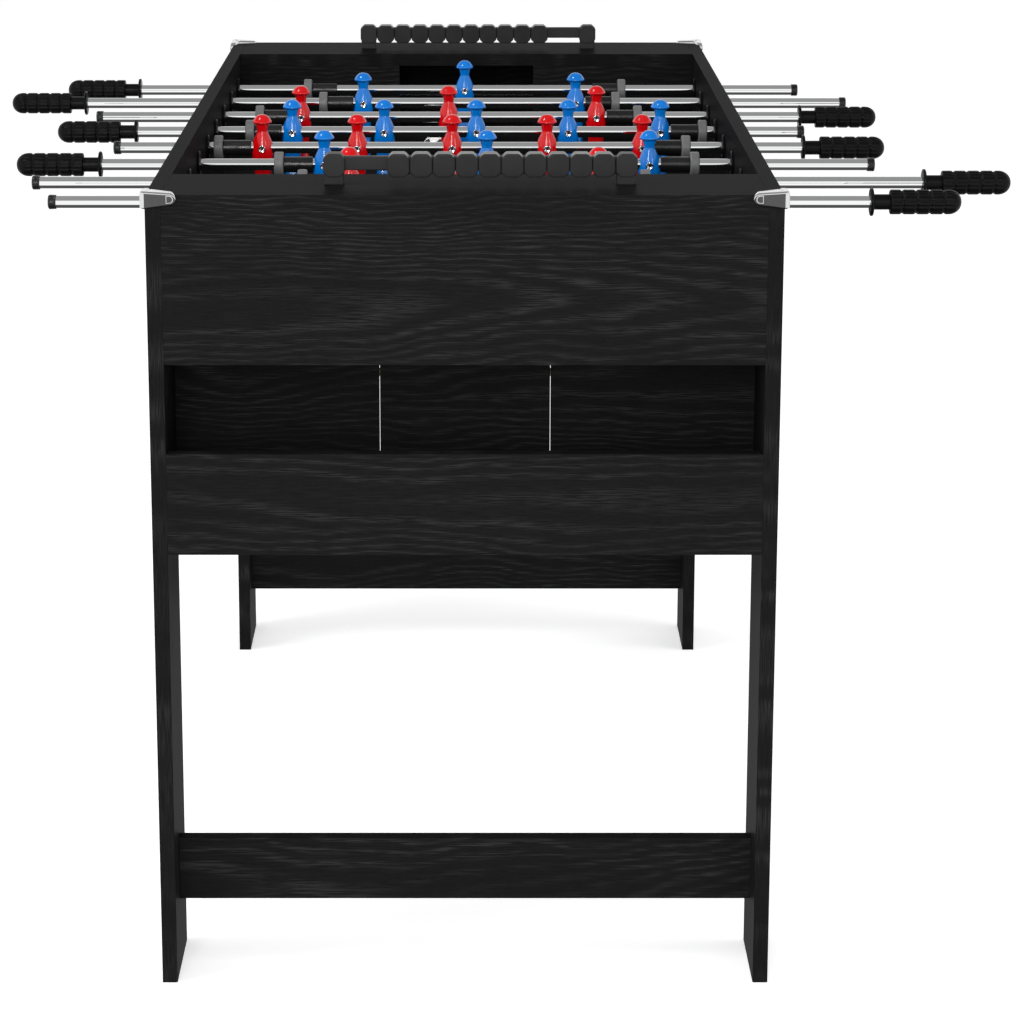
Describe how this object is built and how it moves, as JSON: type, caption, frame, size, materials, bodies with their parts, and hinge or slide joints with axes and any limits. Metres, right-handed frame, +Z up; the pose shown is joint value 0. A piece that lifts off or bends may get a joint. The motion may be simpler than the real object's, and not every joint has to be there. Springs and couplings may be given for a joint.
{
  "type": "foosball table",
  "caption": "Free-standing foosball table with board legs, sliding and turning player rods, bead scorers and open ball compartments.",
  "frame": {"origin": "centre of the table on the floor", "axes": "+X across the table along the rods, +Y along the table from the near end to the far end, +Z up"},
  "size_m": [1.123, 1.219, 0.8305],
  "materials": {
    "board_black": "black wood-grain laminate",
    "field_black": "satin black laminate",
    "tube_chrome": "polished",
    "men_red": "glossy",
    "men_blue": "glossy",
    "handle_black": "ribbed satin",
    "bumper_black": "satin",
    "bush_black": "satin",
    "scorer_grey": "satin",
    "bead_grey": "soft gloss",
    "cap_chrome": "bright plated plastic",
    "screw_steel": "zinc plated",
    "dowel_wood": "bare beech",
    "ball_white": "white with black patches"
  },
  "bodies": {
    "table": {"side_panel_left": "board_black", "side_panel_right": "board_black", "leg_near_left": "board_black", "leg_near_right": "board_black", "leg_far_left": "board_black", "leg_far_right": "board_black", "upper_end_panel_near": "board_black", "upper_end_panel_far": "board_black", "lower_end_panel_near": "board_black", "lower_end_panel_far": "board_black", "crossbar_near": "board_black", "crossbar_far": "board_black", "ledge_near": "board_black", "ledge_far": "board_black", "goal_wall_near": "board_black", "goal_wall_far": "board_black", "ball_tray_near": "board_black", "ball_tray_far": "board_black", "playfield": "field_black", "rod_bushes": "bush_black", "corner_caps": "cap_chrome", "dowels": "dowel_wood", "board_screws": "screw_steel", "scorer_rail_near": "scorer_grey", "scorer_rail_far": "scorer_grey"},
    "beads_near": {"scorer_beads_near": "bead_grey"},
    "beads_far": {"scorer_beads_far": "bead_grey"},
    "ball": {"ball": "ball_white"},
    "rod_1": {"rod_1_tube": "tube_chrome"},
    "rod_1_turning": {"rod_1_men": "men_red", "rod_1_handle": "handle_black", "rod_1_bumpers": "bumper_black"},
    "rod_2": {"rod_2_tube": "tube_chrome"},
    "rod_2_turning": {"rod_2_men": "men_red", "rod_2_handle": "handle_black", "rod_2_bumpers": "bumper_black"},
    "rod_3": {"rod_3_tube": "tube_chrome"},
    "rod_3_turning": {"rod_3_men": "men_blue", "rod_3_handle": "handle_black", "rod_3_bumpers": "bumper_black"},
    "rod_4": {"rod_4_tube": "tube_chrome"},
    "rod_4_turning": {"rod_4_men": "men_red", "rod_4_handle": "handle_black", "rod_4_bumpers": "bumper_black"},
    "rod_5": {"rod_5_tube": "tube_chrome"},
    "rod_5_turning": {"rod_5_men": "men_blue", "rod_5_handle": "handle_black", "rod_5_bumpers": "bumper_black"},
    "rod_6": {"rod_6_tube": "tube_chrome"},
    "rod_6_turning": {"rod_6_men": "men_red", "rod_6_handle": "handle_black", "rod_6_bumpers": "bumper_black"},
    "rod_7": {"rod_7_tube": "tube_chrome"},
    "rod_7_turning": {"rod_7_men": "men_blue", "rod_7_handle": "handle_black", "rod_7_bumpers": "bumper_black"},
    "rod_8": {"rod_8_tube": "tube_chrome"},
    "rod_8_turning": {"rod_8_men": "men_blue", "rod_8_handle": "handle_black", "rod_8_bumpers": "bumper_black"}
  },
  "joints": [
    {"name": "rod_1_slide", "type": "slide", "parent": "table", "child": "rod_1", "axis": [1, 0, 0], "range_m": [-0.083, 0.083]},
    {"name": "rod_1_spin", "type": "hinge", "parent": "rod_1", "child": "rod_1_turning", "pos_m": [0, -0.42, 0.762], "axis": [1, 0, 0], "continuous": true},
    {"name": "rod_2_slide", "type": "slide", "parent": "table", "child": "rod_2", "axis": [1, 0, 0], "range_m": [-0.1107, 0.0927]},
    {"name": "rod_2_spin", "type": "hinge", "parent": "rod_2", "child": "rod_2_turning", "pos_m": [0, -0.3, 0.762], "axis": [1, 0, 0], "continuous": true},
    {"name": "rod_3_slide", "type": "slide", "parent": "table", "child": "rod_3", "axis": [1, 0, 0], "range_m": [-0.0793, 0.0333]},
    {"name": "rod_3_spin", "type": "hinge", "parent": "rod_3", "child": "rod_3_turning", "pos_m": [0, -0.18, 0.762], "axis": [1, 0, 0], "continuous": true},
    {"name": "rod_4_slide", "type": "slide", "parent": "table", "child": "rod_4", "axis": [1, 0, 0], "range_m": [-0.005, 0.035]},
    {"name": "rod_4_spin", "type": "hinge", "parent": "rod_4", "child": "rod_4_turning", "pos_m": [0, -0.06, 0.762], "axis": [1, 0, 0], "continuous": true},
    {"name": "rod_5_slide", "type": "slide", "parent": "table", "child": "rod_5", "axis": [1, 0, 0], "range_m": [-0.032, 0.008]},
    {"name": "rod_5_spin", "type": "hinge", "parent": "rod_5", "child": "rod_5_turning", "pos_m": [0, 0.06, 0.762], "axis": [1, 0, 0], "continuous": true},
    {"name": "rod_6_slide", "type": "slide", "parent": "table", "child": "rod_6", "axis": [1, 0, 0], "range_m": [-0.0358, 0.0768]},
    {"name": "rod_6_spin", "type": "hinge", "parent": "rod_6", "child": "rod_6_turning", "pos_m": [0, 0.18, 0.762], "axis": [1, 0, 0], "continuous": true},
    {"name": "rod_7_slide", "type": "slide", "parent": "table", "child": "rod_7", "axis": [1, 0, 0], "range_m": [-0.1057, 0.0977]},
    {"name": "rod_7_spin", "type": "hinge", "parent": "rod_7", "child": "rod_7_turning", "pos_m": [0, 0.3, 0.762], "axis": [1, 0, 0], "continuous": true},
    {"name": "rod_8_slide", "type": "slide", "parent": "table", "child": "rod_8", "axis": [1, 0, 0], "range_m": [-0.081, 0.085]},
    {"name": "rod_8_spin", "type": "hinge", "parent": "rod_8", "child": "rod_8_turning", "pos_m": [0, 0.42, 0.762], "axis": [1, 0, 0], "continuous": true},
    {"name": "beads_near_slide", "type": "slide", "parent": "table", "child": "beads_near", "axis": [1, 0, 0], "range_m": [-0.04, 0]},
    {"name": "beads_far_slide", "type": "slide", "parent": "table", "child": "beads_far", "axis": [1, 0, 0], "range_m": [0, 0.04]},
    {"name": "ball_lift", "type": "slide", "parent": "table", "child": "ball", "axis": [0, 0, 1], "range_m": [0, 0.16]}
  ]
}
